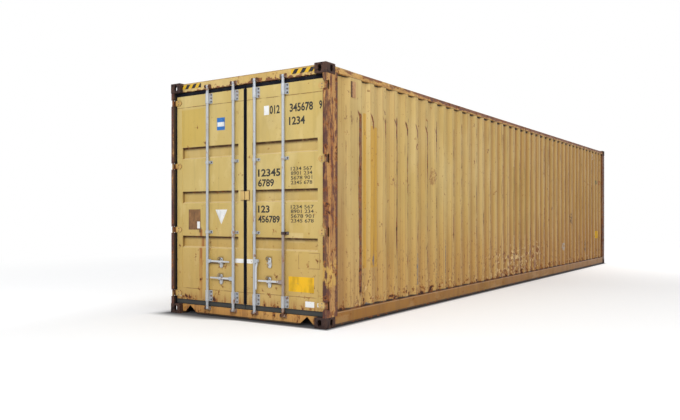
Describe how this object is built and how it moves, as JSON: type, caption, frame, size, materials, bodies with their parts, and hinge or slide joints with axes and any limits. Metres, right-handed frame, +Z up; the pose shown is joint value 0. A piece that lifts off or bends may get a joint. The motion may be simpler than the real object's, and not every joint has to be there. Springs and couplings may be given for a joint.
{
  "type": "shipping container",
  "caption": "Long high-cube steel freight box with corrugated walls and roof, wooden floor, double doors on hinges, lock rods with swing handles, and corner castings for lifting and stacking.",
  "frame": {"origin": "on the ground under the middle of the container", "axes": "+X along the length to the closed end, -X is the door end, +Y to the left seen from outside the doors, +Z up"},
  "size_m": [12.192, 2.438, 2.896],
  "materials": {
    "body_paint": "faded",
    "door_paint": "faded",
    "rusted_paint": "rusted",
    "casting_steel": "rusted",
    "underframe_coating": "matte",
    "galvanised_steel": "weathered",
    "seal_rubber": "matte",
    "floor_wood": "worn",
    "vent_plastic": "faded"
  },
  "bodies": {
    "container": {"castings_door_bottom": "casting_steel", "castings_door_top": "casting_steel", "castings_front_bottom": "casting_steel", "castings_front_top": "casting_steel", "door_post_left": "rusted_paint", "door_post_right": "rusted_paint", "front_post_left": "body_paint", "front_post_right": "body_paint", "top_rail_left": "body_paint", "top_rail_right": "body_paint", "bottom_rail_left": "body_paint", "bottom_rail_right": "body_paint", "side_wall_left": "body_paint", "side_wall_right": "body_paint", "front_wall": "body_paint", "roof": "body_paint", "roof_guards": "body_paint", "door_header": "body_paint", "door_sill": "rusted_paint", "front_header": "body_paint", "front_sill": "rusted_paint", "gooseneck_tunnel": "underframe_coating", "cross_members": "underframe_coating", "floor_boards": "floor_wood", "ventilator_left": "vent_plastic", "ventilator_right": "vent_plastic", "hinge_lugs_left": "rusted_paint", "hinge_lugs_right": "rusted_paint", "cam_keepers": "galvanised_steel"},
    "door_left": {"door_frame_left": "door_paint", "door_panel_left": "door_paint", "door_seal_left": "seal_rubber", "hinge_blades_left": "door_paint", "centre_plate_left": "door_paint", "rod_brackets_left": "galvanised_steel", "handle_retainers_left": "galvanised_steel"},
    "door_right": {"door_frame_right": "door_paint", "door_panel_right": "door_paint", "door_seal_right": "seal_rubber", "hinge_blades_right": "door_paint", "centre_plate_right": "door_paint", "rod_brackets_right": "galvanised_steel", "handle_retainers_right": "galvanised_steel"},
    "rod_1": {"lock_rod_1": "galvanised_steel"},
    "lever_1": {"handle_1": "galvanised_steel"},
    "rod_2": {"lock_rod_2": "galvanised_steel"},
    "lever_2": {"handle_2": "galvanised_steel"},
    "rod_3": {"lock_rod_3": "galvanised_steel"},
    "lever_3": {"handle_3": "galvanised_steel"},
    "rod_4": {"lock_rod_4": "galvanised_steel"},
    "lever_4": {"handle_4": "galvanised_steel"}
  },
  "joints": [
    {"name": "door_left_hinge", "type": "hinge", "parent": "container", "child": "door_left", "pos_m": [-6.074, 1.199, 1.451], "axis": [0, 0, -1], "range_deg": [0, 265]},
    {"name": "door_right_hinge", "type": "hinge", "parent": "container", "child": "door_right", "pos_m": [-6.074, -1.199, 1.451], "axis": [0, 0, 1], "range_deg": [0, 265]},
    {"name": "rod_1_turn", "type": "hinge", "parent": "door_left", "child": "rod_1", "pos_m": [-6.068, 0.598, 1.451], "axis": [0, 0, 1], "range_deg": [-115, 0]},
    {"name": "rod_2_turn", "type": "hinge", "parent": "door_left", "child": "rod_2", "pos_m": [-6.068, 0.168, 1.451], "axis": [0, 0, -1], "range_deg": [-115, 0]},
    {"name": "rod_3_turn", "type": "hinge", "parent": "door_right", "child": "rod_3", "pos_m": [-6.068, -0.168, 1.451], "axis": [0, 0, 1], "range_deg": [-115, 0]},
    {"name": "rod_4_turn", "type": "hinge", "parent": "door_right", "child": "rod_4", "pos_m": [-6.068, -0.598, 1.451], "axis": [0, 0, -1], "range_deg": [-115, 0]},
    {"name": "handle_1_lift", "type": "hinge", "parent": "rod_1", "child": "lever_1", "pos_m": [-6.073, 0.554, 0.676], "axis": [-1, 0, 0], "range_deg": [0, 25]},
    {"name": "handle_2_lift", "type": "hinge", "parent": "rod_2", "child": "lever_2", "pos_m": [-6.073, 0.212, 0.476], "axis": [1, 0, 0], "range_deg": [0, 25]},
    {"name": "handle_3_lift", "type": "hinge", "parent": "rod_3", "child": "lever_3", "pos_m": [-6.073, -0.212, 0.702], "axis": [-1, 0, 0], "range_deg": [0, 80]},
    {"name": "handle_4_lift", "type": "hinge", "parent": "rod_4", "child": "lever_4", "pos_m": [-6.073, -0.554, 0.476], "axis": [1, 0, 0], "range_deg": [0, 25]}
  ]
}
